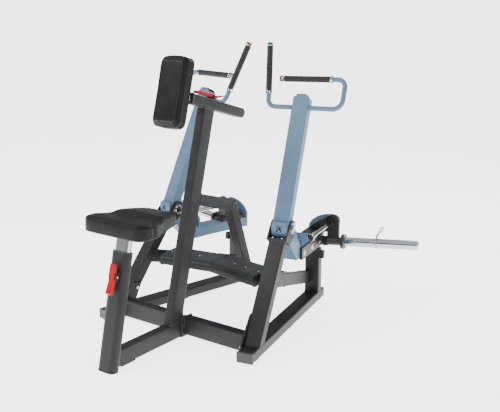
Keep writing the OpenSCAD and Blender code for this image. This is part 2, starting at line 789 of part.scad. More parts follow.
module guide_rod(k) color(chrome) side(k) {
    rod([rod_t, bracket_s + bracket_t, rod_z], [rod_t, hood_s, rod_z], rod_d / 2);
    rod([rod_t, bracket_s - 9, rod_z], [rod_t, bracket_s, rod_z], 19);
    rod([rod_t, bracket_s - 1, rod_z], [rod_t, bracket_s + bracket_t + 1, rod_z], rod_d / 2 - 5);
    rod([rod_t, hood_s - 1, rod_z], [rod_t, hood_s + hood_t, rod_z], rod_d / 2 - 5);
    rod([rod_t, hood_s + hood_t, rod_z], [rod_t, hood_s + hood_t + 8, rod_z], 17);
}

module guide_rail(k) color(black) side(k) difference() {
    translate([arm_w / 2, 588, 335]) cube([rail_t, 330, 61]);
    for (s = [625, 742, 859]) translate([arm_w / 2 - 1, s, 363]) rotate([0, 90, 0])
        cylinder(r = 7, h = 30);
}

// ---------- weight carriages ----------

shoe_s = [786, 940];
pad_thick = 4;
shoe_z = lever_top + pad_thick;
boss_z = horn_axis_z(70);
function horn_axis_z(t) = horn_z + (t - horn_t) * tan(horn_tilt);
function horn_at(t) = [t, horn_s + carriage_plate / 2, horn_axis_z(t)];

module carriage(k) color(black) side(k) difference() {
    union() {
        translate([-38, shoe_s[0], shoe_z]) cube([76, shoe_s[1] - shoe_s[0], 12]);
        rearward(carriage_s, carriage_s + carriage_plate) {
            polygon([[-30, shoe_z], [-6, 436], [30, 462], [66, 480], [86, 498], [104, 504],
                [124, 504], [144, 492], [147, 478], [147, 362], [81, 354], [81, 408],
                [60, shoe_z]]);
        }
        translate([rod_t, carriage_s - 14, rod_z]) rotate([-90, 0, 0]) cylinder(r = 27, h = 46);
        rod(horn_at(59), horn_at(83), 27);
    }
    translate([rod_t, 0, rod_z]) rotate([-90, 0, 0]) cylinder(r = rod_d / 2 + fit_gap, h = 1200);
    rod(horn_at(40), horn_at(170), horn_shank / 2);
}

module carriage_pads(k) color(red) side(k) for (s = [shoe_s[0], shoe_s[1] - 50])
    translate([-40, s, lever_top + gap]) cube([80, 50, pad_thick - gap]);

// The horn is one turned bar: shank, stop flange and plate tube with a domed end.
horn_shank = 35;
horn_dome = 12;

module horn(k) color(chrome) side(k) translate(horn_at(horn_t)) rotate([0, 90 - horn_tilt, 0])
    rotate_extrude() {
        translate([0, 60 - horn_t]) square([horn_shank / 2, horn_t - 60]);
        square([38, horn_flange]);
        square([horn_d / 2, horn_flange + horn_l - horn_dome]);
        translate([0, horn_flange + horn_l - horn_dome]) {
            square([horn_d / 2 - horn_dome, horn_dome]);
            intersection() {
                translate([horn_d / 2 - horn_dome, 0]) circle(horn_dome);
                square(horn_d);
            }
        }
    }

module horn_clip(k) color(chrome) side(k) {
    sleeve_on(horn_at(clip_t), horn_at(600), 0, 8, horn_d / 2 + fit_gap, horn_d / 2 + 5);
    p = horn_at(clip_t + 4);
    for (x = [-9, 9]) rod(p + [0, x, 27.5], p + [20, x * 0.7, 84], 3);
}

// ---------- output ----------

base_beam();
mast();
upper_brace();
rear_leg();
seat_sleeve();
crossbars();
cross_rails();
foot_plates();
base_tube(LEFT);  // left_base_tube
base_tube(RIGHT);  // right_base_tube
upright(LEFT);  // left_upright
upright(RIGHT);  // right_upright
rear_post(LEFT);  // left_rear_post
rear_post(RIGHT);  // right_rear_post
mid_braces();
clevis(LEFT);  // left_clevis
clevis(RIGHT);  // right_clevis
pivot_bearings();
stop_bumpers();
rubber_feet();
end_caps();
frame_bolts();
pad_sleeve();
sleeve_liners();
seat_post();
seat_plate();
seat_cushion();
seat_lever();
pad_tube();
pad_plate();
chest_pad();
pad_lever();
arm_tube(LEFT);  // left_arm_tube
arm_tube(RIGHT);  // right_arm_tube
arm_hub(LEFT);  // left_arm_hub
arm_hub(RIGHT);  // right_arm_hub
arm_cap(LEFT);  // left_arm_cap
arm_cap(RIGHT);  // right_arm_cap
lower_lever(LEFT);  // left_lower_lever
lower_lever(RIGHT);  // right_lower_lever
pivot_shaft(LEFT);  // left_pivot_shaft
pivot_shaft(RIGHT);  // right_pivot_shaft
handle(LEFT);  // left_handle
handle(RIGHT);  // right_handle
grips(LEFT);  // left_grips
grips(RIGHT);  // right_grips
handle_fittings(LEFT);  // left_handle_fittings
handle_fittings(RIGHT);  // right_handle_fittings
guide_rod(LEFT);  // left_guide_rod
guide_rod(RIGHT);  // right_guide_rod
guide_rail(LEFT);  // left_guide_rail
guide_rail(RIGHT);  // right_guide_rail
carriage(LEFT);  // left_carriage
carriage(RIGHT);  // right_carriage
carriage_pads(LEFT);  // left_carriage_pads
carriage_pads(RIGHT);  // right_carriage_pads
horn(LEFT);  // left_horn
horn(RIGHT);  // right_horn
horn_clip(LEFT);  // left_horn_clip
horn_clip(RIGHT);  // right_horn_clip
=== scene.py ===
import json
import math

import bmesh
import bpy
import numpy as np
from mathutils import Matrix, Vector, noise
from mathutils.bvhtree import BVHTree
from mathutils.kdtree import KDTree

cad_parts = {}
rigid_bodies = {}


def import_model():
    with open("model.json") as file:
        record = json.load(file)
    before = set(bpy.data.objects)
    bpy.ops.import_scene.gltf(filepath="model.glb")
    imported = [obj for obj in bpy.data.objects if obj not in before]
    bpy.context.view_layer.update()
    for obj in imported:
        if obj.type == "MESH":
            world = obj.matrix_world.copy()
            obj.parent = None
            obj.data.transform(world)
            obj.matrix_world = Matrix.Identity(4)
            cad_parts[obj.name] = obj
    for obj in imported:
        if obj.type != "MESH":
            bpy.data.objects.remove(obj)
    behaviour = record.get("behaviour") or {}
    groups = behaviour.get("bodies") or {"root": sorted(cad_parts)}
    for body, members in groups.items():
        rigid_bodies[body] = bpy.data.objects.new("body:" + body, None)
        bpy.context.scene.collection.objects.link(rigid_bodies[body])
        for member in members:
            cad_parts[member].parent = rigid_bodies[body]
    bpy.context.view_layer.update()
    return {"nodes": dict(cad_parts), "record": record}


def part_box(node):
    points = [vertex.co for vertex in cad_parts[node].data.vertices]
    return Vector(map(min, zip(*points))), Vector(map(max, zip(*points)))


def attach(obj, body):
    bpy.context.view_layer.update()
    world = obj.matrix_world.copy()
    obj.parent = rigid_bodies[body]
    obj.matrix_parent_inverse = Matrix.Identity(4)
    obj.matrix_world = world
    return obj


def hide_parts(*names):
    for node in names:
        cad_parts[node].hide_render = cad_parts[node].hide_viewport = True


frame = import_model()
NODES = frame["nodes"]
RECORD = frame["record"]
JOINTS = {j["name"]: j for j in RECORD["behaviour"]["joints"]}
BODY_OF = {n: b for b, ns in RECORD["behaviour"]["bodies"].items() for n in ns}
SLOT_OF = {p["node"]: p["material_slot"] for p in RECORD["subparts"]}
Z = Vector((0, 0, 1))


# ---------------------------------------------------------------- materials

def material(name, base, rough, metallic=0.0, spread=0.12, grain=None, bump=0.0, mottle=14.0,
             rough_spread=0.08, specular=0.5, coat=0.0, coat_rough=0.2, dust=0.0, cells=None,
             cell_bump=0.0, scratch=0.0):
    """A shader with colour, roughness and bump from procedural noise in object coordinates."""
    m = bpy.data.materials.new(name)
    m.use_nodes = True
    nt = m.node_tree
    n, link = nt.nodes, nt.links.new
    bsdf = n["Principled BSDF"]
    bsdf.inputs["Metallic"].default_value = metallic
    bsdf.inputs["Specular IOR Level"].default_value = specular
    bsdf.inputs["Coat Weight"].default_value = coat
    bsdf.inputs["Coat Roughness"].default_value = coat_rough
    coords = n.new("ShaderNodeTexCoord")

    def tex(kind, scale, **kw):
        t = n.new(kind)
        t.inputs["Scale"].default_value = scale
        for key, value in kw.items():
            t.inputs[key].default_value = value
        link(coords.outputs["Object"], t.inputs["Vector"])
        return t

    broad = tex("ShaderNodeTexNoise", mottle, Detail=4.0, Roughness=0.6)
    ramp = n.new("ShaderNodeValToRGB")
    ramp.color_ramp.elements[0].position = 0.3
    ramp.color_ramp.elements[1].position = 0.7
    dark = [c * (1 - spread) for c in base]
    light = [min(1, c * (1 + spread) + 0.004 * spread * 10) for c in base]
    ramp.color_ramp.elements[0].color = (*dark, 1)
    ramp.color_ramp.elements[1].color = (*light, 1)
    link(broad.outputs["Fac"], ramp.inputs["Fac"])
    color = ramp.outputs["Color"]
    if dust:
        fine = tex("ShaderNodeTexNoise", 900.0, Detail=2.0)
        speck = n.new("ShaderNodeMapRange")
        speck.inputs["From Min"].default_value = 0.62
        speck.inputs["From Max"].default_value = 0.75
        speck.inputs["To Max"].default_value = dust
        link(fine.outputs["Fac"], speck.inputs["Value"])
        mix = n.new("ShaderNodeMix")
        mix.data_type = "RGBA"
        link(speck.outputs["Result"], mix.inputs["Factor"])
        link(color, mix.inputs["A"])
        mix.inputs["B"].default_value = (*[min(1, c * 1.6 + 0.05) for c in base], 1)
        color = mix.outputs["Result"]
    link(color, bsdf.inputs["Base Color"])

    smear = tex("ShaderNodeTexNoise", mottle * 2.3, Detail=5.0, Roughness=0.7)
    span = n.new("ShaderNodeMapRange")
    span.inputs["From Min"].default_value = 0.25
    span.inputs["From Max"].default_value = 0.75
    span.inputs["To Min"].default_value = max(0.02, rough - rough_spread)
    span.inputs["To Max"].default_value = min(1.0, rough + rough_spread)
    link(smear.outputs["Fac"], span.inputs["Value"])
    link(span.outputs["Result"], bsdf.inputs["Roughness"])

    normal = None
    if grain and bump:
        g = tex("ShaderNodeTexNoise", grain, Detail=3.0, Roughness=0.6)
        b = n.new("ShaderNodeBump")
        b.inputs["Strength"].default_value = bump
        b.inputs["Distance"].default_value = 0.0006
        link(g.outputs["Fac"], b.inputs["Height"])
        normal = b.outputs["Normal"]
    if cells and cell_bump:
        v = tex("ShaderNodeTexVoronoi", cells)
        v.feature = "DISTANCE_TO_EDGE"
        crease = n.new("ShaderNodeMapRange")
        crease.inputs["From Max"].default_value = 0.14
        link(v.outputs["Distance"], crease.inputs["Value"])
        b = n.new("ShaderNodeBump")
        b.inputs["Strength"].default_value = cell_bump
        b.inputs["Distance"].default_value = 0.0005
        link(crease.outputs["Result"], b.inputs["Height"])
        if normal:
            link(normal, b.inputs["Normal"])
        normal = b.outputs["Normal"]
    if scratch:
        s = tex("ShaderNodeTexNoise", 60.0, Detail=6.0, Distortion=2.0)
        b = n.new("ShaderNodeBump")
        b.inputs["Strength"].default_value = scratch
        b.inputs["Distance"].default_value = 0.0002
        link(s.outputs["Fac"], b.inputs["Height"])
        if normal:
            link(normal, b.inputs["Normal"])
        normal = b.outputs["Normal"]
    if normal:
        link(normal, bsdf.inputs["Normal"])
    return m


MAT = {
    "frame_paint": material("charcoal_powder_coat", (0.0135, 0.0135, 0.014), 0.46, spread=0.05,
                            grain=1500, bump=0.3, dust=0.02, rough_spread=0.05, specular=0.2),
    "black_paint": material("black_powder_coat", (0.006, 0.006, 0.0065), 0.42, spread=0.2,
                            grain=1500, bump=0.25, dust=0.02, specular=0.22),
    "arm_paint": material("steel_blue_coat", (0.078, 0.138, 0.212), 0.45, spread=0.05, grain=1300,
                          bump=0.16, rough_spread=0.05, coat=0.06, coat_rough=0.3,
                          dust=0.02, specular=0.25),
    "chrome": material("chrome_plate", (0.40, 0.40, 0.415), 0.09, metallic=1.0, spread=0.04,
                       rough_spread=0.05, scratch=0.12, mottle=30),
    "rubber": material("moulded_rubber", (0.007, 0.007, 0.007), 0.7, spread=0.25, grain=700,
                       bump=0.4, specular=0.35),
    "grip_rubber": material("grip_rubber", (0.003, 0.003, 0.0032), 0.6, spread=0.15, cells=420,
                            cell_bump=0.6, specular=0.4),
    "black_plastic": material("matt_black_plastic", (0.008, 0.008, 0.0085), 0.5, spread=0.15,
                              grain=1100, bump=0.3),
    "red_plastic": material("red_plastic", (0.33, 0.0006, 0.004), 0.40, spread=0.06, grain=900,
                            bump=0.1, specular=0.15),
    "upholstery": material("black_vinyl", (0.0032, 0.0032, 0.0034), 0.44, spread=0.10, cells=520,
                           cell_bump=0.22, grain=240, bump=0.1, rough_spread=0.05,
                           specular=0.12),
}
MAT["piping"] = material("vinyl_piping", (0.009, 0.009, 0.009), 0.4, spread=0.1, grain=700,
                         bump=0.2)
MAT["weld"] = material("painted_weld", (0.016, 0.016, 0.0165), 0.42, spread=0.2, grain=260,
                       bump=0.5)
MAT["tread"] = material("tread_rubber", (0.013, 0.013, 0.0135), 0.6, spread=0.25, cells=170,
                        cell_bump=1.0, specular=0.4)
# A near black, rough finish for a plate set where only shade falls: painted shade.
MAT["dark"] = material("dark_recess", (0.006, 0.006, 0.006), 0.8, spread=0.2, grain=500, bump=0.2)
# Lighter, smoother paint for the bevel faces: a painted highlight along every rounded edge.
EDGE = {
    "frame_paint": material("charcoal_edge_highlight", (0.060, 0.060, 0.061), 0.32, spread=0.25,
                            mottle=90, grain=900, bump=0.2),
    "black_paint": material("black_edge_highlight", (0.014, 0.014, 0.0145), 0.34, spread=0.3, mottle=90,
                            grain=900, bump=0.2),
    "arm_paint": material("blue_edge_highlight", (0.12, 0.19, 0.27), 0.34, spread=0.12, mottle=90,
                          grain=900, bump=0.15),
}


# ---------------------------------------------------------------- mesh helpers

def add(name, mesh, mat, body, replaces=(), angle=35):
    """Links a mesh as a piece that rides on a body."""
    o = bpy.data.objects.new(name, mesh)
    bpy.context.scene.collection.objects.link(o)
    mesh.materials.append(MAT[mat])
    mesh.shade_smooth()
    mesh.set_sharp_from_angle(angle=math.radians(angle))
    if replaces:
        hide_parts(*replaces)
    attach(o, body)
    return o


def to_mesh(bm, name):
    """A mesh from a finished bmesh, with its faces turned outwards."""
    bmesh.ops.recalc_face_normals(bm, faces=bm.faces)
    me = bpy.data.meshes.new(name)
    bm.to_mesh(me)
    bm.free()
    return me


def frame_of(axis):
    """Two unit vectors square to an axis."""
    a = Vector(axis).normalized()
    x = a.cross(Z)
    if x.length < 1e-4:
        x = a.cross(Vector((0, 1, 0)))
    x.normalize()
    return x, a.cross(x).normalized()


def lathe(bm, origin, axis, profile, steps=48, capped=True):
    """Turns a profile of (distance along axis, radius) round an axis."""
    origin, a = Vector(origin), Vector(axis).normalized()
    x, y = frame_of(a)
    rings = []
    for along, r in profile:
        c = origin + a * along
        rings.append([bm.verts.new(c + (x * math.cos(2 * math.pi * i / steps)
                                        + y * math.sin(2 * math.pi * i / steps)) * r)
                      for i in range(steps)])
    for p, q in zip(rings, rings[1:]):
        for i in range(steps):
            j = (i + 1) % steps
            bm.faces.new((p[i], p[j], q[j], q[i]))
    if capped:
        bm.faces.new(rings[0][::-1])
        bm.faces.new(rings[-1])


def sweep(bm, points, radius, closed=False, steps=16, wobble=0.0, seed=0.0):
    """A round tube along a polyline, with an optional uneven surface."""
    pts = [Vector(p) for p in points]
    n = len(pts)
    rings = []
    ref = None
    for i, p in enumerate(pts):
        if closed:
            d = pts[(i + 1) % n] - pts[i - 1]
        else:
            d = pts[min(i + 1, n - 1)] - pts[max(i - 1, 0)]
        d.normalize()
        if ref is None:
            ref = frame_of(d)[0]
        x = (ref - d * ref.dot(d)).normalized()
        y = d.cross(x).normalized()
        ref = x
        ring = []
        for k in range(steps):
            a = 2 * math.pi * k / steps
            r = radius
            if wobble:
                r *= 1 + wobble * noise.noise(p * 160 + Vector((seed, k * 0.4, 0)))
            ring.append(bm.verts.new(p + (x * math.cos(a) + y * math.sin(a)) * r))
        rings.append(ring)
    for p, q in zip(rings, rings[1:]):
        for k in range(steps):
            j = (k + 1) % steps
            bm.faces.new((p[k], p[j], q[j], q[k]))
    if closed:
        p, q = rings[-1], rings[0]
        turn = min(range(steps), key=lambda s: (q[s].co - p[0].co).length)
        for k in range(steps):
            j = (k + 1) % steps
            bm.faces.new((p[k], p[j], q[(j + turn) % steps], q[(k + turn) % steps]))
    else:
        bm.faces.new(rings[0][::-1])
        bm.faces.new(rings[-1])


def rounded_path(points, radii, step=math.radians(5)):
    """A polyline with its inner corners replaced by arcs of the given radii."""
    pts = [Vector(p) for p in points]
    out = [pts[0]]
    for i in range(1, len(pts) - 1):
        a, b, c = pts[i - 1], pts[i], pts[i + 1]
        u, v = (a - b).normalized(), (c - b).normalized()
        ang = u.angle(v)
        r = radii[i - 1]
        reach = r / math.tan(ang / 2)
        start = b + u * reach
        nrm = (v - u * u.dot(v)).normalized()
        centre = start + nrm * r
        turn = math.pi - ang
        k = max(2, int(turn / step))
        for j in range(k + 1):
            t = turn * j / k
            out.append(centre - nrm * math.cos(t) * r - u * math.sin(t) * r)
    out.append(pts[-1])
    return out


def plate(bm, outline, low, high, to_world, holes=()):
    """Extrudes a flat outline, with holes, between two heights; to_world places (x, y, h)."""
    def ring(points, h):
        return [bm.verts.new(to_world(x, y, h)) for x, y in points]
    loops = [outline] + list(holes)
    tops = [ring(p, high) for p in loops]
    bottoms = [ring(p, low) for p in loops]
    for rings in (tops, bottoms):
        edges = []
        for r in rings:
            edges += [bm.edges.new((r[i], r[(i + 1) % len(r)])) for i in range(len(r))]
        bmesh.ops.triangle_fill(bm, edges=edges, use_beauty=True)
    for t, b in zip(tops, bottoms):
        for i in range(len(t)):
            j = (i + 1) % len(t)
            bm.faces.new((t[i], t[j], b[j], b[i]))


def bevel(o, width, segments=3, angle=35):
    """Rounds the edges that turn by more than an angle."""
    m = o.modifiers.new("edge", "BEVEL")
    m.width = width
    m.segments = segments
    m.limit_method = "ANGLE"
    m.angle_limit = math.radians(angle)
    m.harden_normals = True
    return m


# ---------------------------------------------------------------- carried-over CAD nodes

# Nodes that a piece below stands for, and edge radii that aren't the usual one.
REPLACED = {"seat_cushion", "chest_pad"}
USUAL_EDGE = 0.0009
for k in ("left", "right"):
    REPLACED |= {k + "_handle", k + "_grips", k + "_handle_fittings", k + "_horn_clip"}
WIDTHS = {"seat_lever": 0.0022, "pad_lever": 0.0022, "stop_bumpers": 0.002, "end_caps": 0.0018,
          "rubber_feet": 0.0015, "frame_bolts": 0.0004, "pivot_bearings": 0.0005,
          "sleeve_liners": 0.0008}
for name, node in NODES.items():
    if name in REPLACED:
        continue
    slot = SLOT_OF[name]
    me = node.data
    me.materials.clear()
    me.materials.append(MAT[slot])
    for attribute in [a.name for a in me.attributes if a.name == "custom_normal"]:
        me.attributes.remove(me.attributes[attribute])
    me.shade_smooth()
    fuse = node.modifiers.new("fuse", "WELD")
    fuse.merge_threshold = 0.00001
    flat = node.modifiers.new("flat", "DECIMATE")
    flat.decimate_type = "DISSOLVE"
    flat.angle_limit = math.radians(0.5)
    edge = bevel(node, WIDTHS.get(name, USUAL_EDGE), 2, 32)
    # the bevel faces take the lighter paint, a painted edge highlight
    if slot in EDGE:
        me.materials.append(EDGE[slot])
        edge.material = 1


# ---------------------------------------------------------------- side frame axes

# The arm's pivot in the side frame, s and z.
PS, PZ = 0.459, 0.531


class Side:
    """t runs outward, s rearward and z up, in metres, about the arm's pivot."""
    def __init__(self, key):
        """Axes and body names of one side, left or right."""
        j = JOINTS[key + "_arm_pivot"]
        self.key = key
        self.sign = 1 if key == "right" else -1
        self.pivot = Vector(j["pos_m"])
        axis = Vector(j["axis"])
        self.t = axis * self.sign
        self.s = Vector((-axis.y, axis.x, 0))
        self.arm = key + "_arm"
        self.carriage = key + "_weight_carriage"

    def at(self, t, s, z):
        return self.pivot + self.t * t + self.s * s + Z * z


SIDES = [Side("left"), Side("right")]


def local(side, t, s, z):
    """A point from the side frame's own millimetres."""
    return side.at(t / 1000, s / 1000 - PS, z / 1000 - PZ)


# ---------------------------------------------------------------- upholstery

CLOTH_FRAMES = 20
SMOOTHING_PASSES = 30
NEAREST = 8            # simulated points that carry each point of the piece


def swell(o, voxel, pressure, cap, hold):
    """Simulates a remeshed copy as pressurised cloth, then moves o as the copy moved.

    The movement is smoothed over the copy's edges and held under cap metres.
    """
    copy = bpy.data.objects.new("cloth_copy", o.data.copy())
    bpy.context.scene.collection.objects.link(copy)
    r = copy.modifiers.new("remesh", "REMESH")
    r.mode = "VOXEL"
    r.voxel_size = voxel
    dg = bpy.context.evaluated_depsgraph_get()
    me = bpy.data.meshes.new_from_object(copy.evaluated_get(dg))
    copy.modifiers.clear()
    copy.data = me
    start = np.array([v.co for v in me.vertices], float)
    held = copy.vertex_groups.new(name="held")
    held.add([v.index for v in me.vertices if hold(v.co)], 1.0, "REPLACE")
    c = copy.modifiers.new("cloth", "CLOTH")
    s = c.settings
    s.quality = 6
    s.mass = 0.3
    s.tension_stiffness = 30
    s.compression_stiffness = 30
    s.shear_stiffness = 15
    s.bending_stiffness = 4
    s.use_pressure = True
    s.uniform_pressure_force = pressure
    s.effector_weights.gravity = 0
    s.vertex_group_mass = "held"
    c.collision_settings.use_collision = False
    scene = bpy.context.scene
    for f in range(1, CLOTH_FRAMES + 1):
        scene.frame_set(f)
    dg = bpy.context.evaluated_depsgraph_get()
    done = bpy.data.meshes.new_from_object(copy.evaluated_get(dg))
    end = np.array([v.co for v in done.vertices], float)
    scene.frame_set(1)
    move = end - start
    edges = np.array([e.vertices[:] for e in me.edges])
    count = np.zeros(len(start))
    np.add.at(count, edges[:, 0], 1)
    np.add.at(count, edges[:, 1], 1)
    for _ in range(SMOOTHING_PASSES):
        near = np.zeros_like(move)
        np.add.at(near, edges[:, 0], move[edges[:, 1]])
        np.add.at(near, edges[:, 1], move[edges[:, 0]])
        move = 0.4 * move + 0.6 * near / np.maximum(count, 1)[:, None]
    size = np.maximum(np.linalg.norm(move, axis=1, keepdims=True), 1e-9)
    move = move / size * (cap * np.tanh(size / cap))
    tree = KDTree(len(start))
    for i, p in enumerate(start):
        tree.insert(p, i)
    tree.balance()
    for v in o.data.vertices:
        total, weight = Vector(), 0.0
        for p, i, d in tree.find_n(v.co, NEAREST):
            w = 1 / (d + 0.002)
            total += Vector(move[i]) * w
            weight += w
        v.co += total / weight
    bpy.data.objects.remove(copy)


def finish_cushion(o, crease_rings, count):
    """Creases the sewn edges and rounds the rest by subdivision."""
    me = o.data
    crease = me.attributes.new("crease_edge", "FLOAT", "EDGE")
    rings = dict(crease_rings)
    for e in me.edges:
        i, j = e.vertices
        if i // count == j // count and i // count in rings:
            crease.data[e.index].value = rings[i // count]
    me.shade_smooth()
    sub = o.modifiers.new("smooth", "SUBSURF")
    sub.levels = 2
    sub.render_levels = 2


def cushion_mesh(name, rings, centre):
    """Closed mesh from rings of points, bottom first; the last ring closes on centre."""
    bm = bmesh.new()
    made = [[bm.verts.new(p) for p in ring] for ring in rings]
    n = len(made[0])
    bm.verts.index_update()
    for p, q in zip(made, made[1:]):
        for i in range(n):
            j = (i + 1) % n
            bm.faces.new((p[i], p[j], q[j], q[i]))
    low = bm.verts.new(sum((v.co for v in made[0]), Vector()) / n)
    high = bm.verts.new(centre)
    for i in range(n):
        j = (i + 1) % n
        bm.faces.new((made[0][j], made[0][i], low))
        bm.faces.new((made[-1][i], made[-1][j], high))
    return to_mesh(bm, name)


def surface_of(o):
    """The finished surface of a piece, for laying seams on."""
    dg = bpy.context.evaluated_depsgraph_get()
    return BVHTree.FromObject(o, dg)


def seam(name, tree, points, radius, body, sink=0.3):
    """A thin closed cord laid on a surface, sunk a little into it."""
    laid = []
    for p in points:
        q, nrm, _, _ = tree.find_nearest(Vector(p))
        laid.append(q + nrm * radius * (1 - 2 * sink))
    smooth = []
    n = len(laid)
    for i in range(n):
        smooth.append((laid[i - 1] + laid[i] * 2 + laid[(i + 1) % n]) / 4)
    bm = bmesh.new()
    sweep(bm, smooth, radius, closed=True, steps=10)
    add(name, to_mesh(bm, name), "piping", body)


def ring_points(outline, count):
    """Evenly spaced points on a closed outline."""
    pts = [Vector((x, y, 0)) for x, y in outline]
    lengths = [(pts[(i + 1) % len(pts)] - pts[i]).length for i in range(len(pts))]
    total = sum(lengths)
    out, i, run = [], 0, 0.0
    for k in range(count):
        want = total * k / count
        while run + lengths[i] < want:
            run += lengths[i]
            i += 1
        f = (want - run) / lengths[i]
        p = pts[i].lerp(pts[(i + 1) % len(pts)], f)
        out.append((p.x, p.y))
    return out


def arc(cx, cy, r, a0, a1, n=8):
    """Points on an arc, from a0 to a1 degrees."""
    return [(cx + r * math.cos(math.radians(a0 + (a1 - a0) * i / n)),
             cy + r * math.sin(math.radians(a0 + (a1 - a0) * i / n))) for i in range(n + 1)]


# Seat: wide behind the user, narrow and raised towards the mast.
slo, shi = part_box("seat_cushion")
SW = (shi.x - slo.x) / 2
SY0, SY1 = slo.y, shi.y
base_t = shi.z - slo.z - 0.0105      # thickness where the top is flat
DIP = 0.47                           # the dip's place, as a fraction of the length
REAR_LIFT, NOSE_RISE, NOSE_FALL = 0.0095, 0.0080, 0.012
WIDEST = 0.19                        # half width that the outline's points are drawn for


def seat_outline(inset=0.0):
    """Plan of the seat, clockwise from the back, narrowing towards the nose."""
    r = 0.052 - inset
    w = SW - inset
    right = arc(w - r, SY0 + inset + r, r, -90, -8)
    for f, half in ((0.30, 0.188), (0.40, 0.175), (0.50, 0.160), (0.60, 0.146), (0.70, 0.134),
                    (0.80, 0.123)):
        right.append((half * SW / WIDEST - inset, SY0 + f * (SY1 - SY0)))
    nose = 0.042
    right += arc(0.112 - inset - nose, SY1 - inset - nose, nose, 12, 90)
    left = [(-x, y) for x, y in reversed(right)]
    return right + left


def seat_top(y, x=0.0):
    """Height of the seat's top: high at the rear, a shallow dip, then a raised nose."""
    f = (y - SY0) / (SY1 - SY0)
    z = slo.z + base_t
    z += REAR_LIFT * max(0.0, 1 - f / DIP) ** 1.2
    rise = min(1, max(0, (f - DIP) / 0.10))
    z += NOSE_RISE * rise * rise * (3 - 2 * rise)
    z -= 0.0030 * math.exp(-((f - 0.38) / 0.12) ** 2) * (1 - (x / SW) ** 2)
    z -= NOSE_FALL * max(0, (f - 0.60) / 0.40)
    return z


def build_seat():
    """The seat: side rings, a domed top, the lower seam and a join at each rear corner."""
    count = 112
    rings = []
    for inset, up in ((0.030, 0.0), (0.012, 0.0), (0.006, 0.001), (0.0025, 0.005),
                      (0.0015, 0.018), (0.0015, 0.032)):
        rings.append([Vector((x, y, slo.z + up)) for x, y in
                      ring_points(seat_outline(inset), count)])
    for inset, down in ((0.0025, 0.0125), (0.0055, 0.0065), (0.0105, 0.0025), (0.018, 0.0006)):
        rings.append([Vector((x, y, seat_top(y, x) - down)) for x, y in
                      ring_points(seat_outline(inset), count)])
    centre = Vector((0, (SY0 + SY1) / 2 - 0.03, 0))
    edge = [Vector((p.x, p.y, 0)) for p in rings[-1]]
    for shrink in (0.92, 0.82, 0.7, 0.57, 0.43, 0.3, 0.17, 0.08):
        pts = [centre + (p - centre) * shrink for p in edge]
        rings.append([Vector((p.x, p.y, seat_top(p.y, p.x))) for p in pts])
    me = cushion_mesh("seat_upholstery", rings, Vector((0, centre.y, seat_top(centre.y))))
    o = add("seat_upholstery", me, "upholstery", "seat", replaces=("seat_cushion",), angle=180)
    swell(o, 0.006, 2.4, 0.0022, lambda p: p.z < slo.z + 0.004)
    finish_cushion(o, ((3, 0.5), (6, 0.35)), count)
    tree = surface_of(o)
    lower = [(x, y, slo.z + 0.007) for x, y in ring_points(seat_outline(-0.004), 220)]
    seam("seat_lower_seam", tree, lower, 0.0014, "seat")
    # a sewn join runs over each rear corner, from the underside to the top panel
    bm = bmesh.new()
    for k in (-1, 1):
        x0, y0 = k * (SW * 0.985), SY0 + 0.072
        path = []
        for i in range(40):
            f = i / 39
            if f < 0.55:
                p = Vector((x0 + k * 0.02, y0, slo.z + 0.004 + f / 0.55 * 0.052))
            else:
                g = (f - 0.55) / 0.45
                p = Vector((x0 - k * 0.085 * g, y0 + 0.02 * g, slo.z + base_t + 0.012))
            q, nrm, _, _ = tree.find_nearest(p)
            path.append(q + nrm * 0.0003)
        sweep(bm, path, 0.0018, steps=8)
    add("seat_corner_seams", to_mesh(bm, "seat_corner_seams"), "piping", "seat")


# Chest pad: flat front panel, bevelled all round, on a board.
class PadFrame:
    """Axes of the chest pad: x across, y up its face, d towards the user."""
    def __init__(self):
        """Measures the CAD pad along its own axes."""
        self.d = Vector(JOINTS["pad_reach"]["axis"]).normalized()
        self.x = Vector((1, 0, 0))
        self.y = self.x.cross(self.d).normalized()
        if self.y.z < 0:
            self.y = -self.y
        vs = [v.co for v in NODES["chest_pad"].data.vertices]
        ds = [v.dot(self.d) for v in vs]
        ys = [v.dot(self.y) for v in vs]
        self.back, self.front = min(ds), max(ds)
        self.w = max(v.x for v in vs)
        self.low, self.high = min(ys), max(ys)

    def at(self, x, y, d):
        """x and y from the pad's centre, d from its back."""
        return (self.x * x + self.y * ((self.low + self.high) / 2 + y)
                + self.d * (self.back + d))


def round_box(w, h, r, n=6):
    """Outline of a rectangle of half sizes w and h with rounded corners."""
    return (arc(w - r, h - r, r, 0, 90, n) + arc(-w + r, h - r, r, 90, 180, n)
            + arc(-w + r, -h + r, r, 180, 270, n) + arc(w - r, -h + r, r, 270, 360, n))


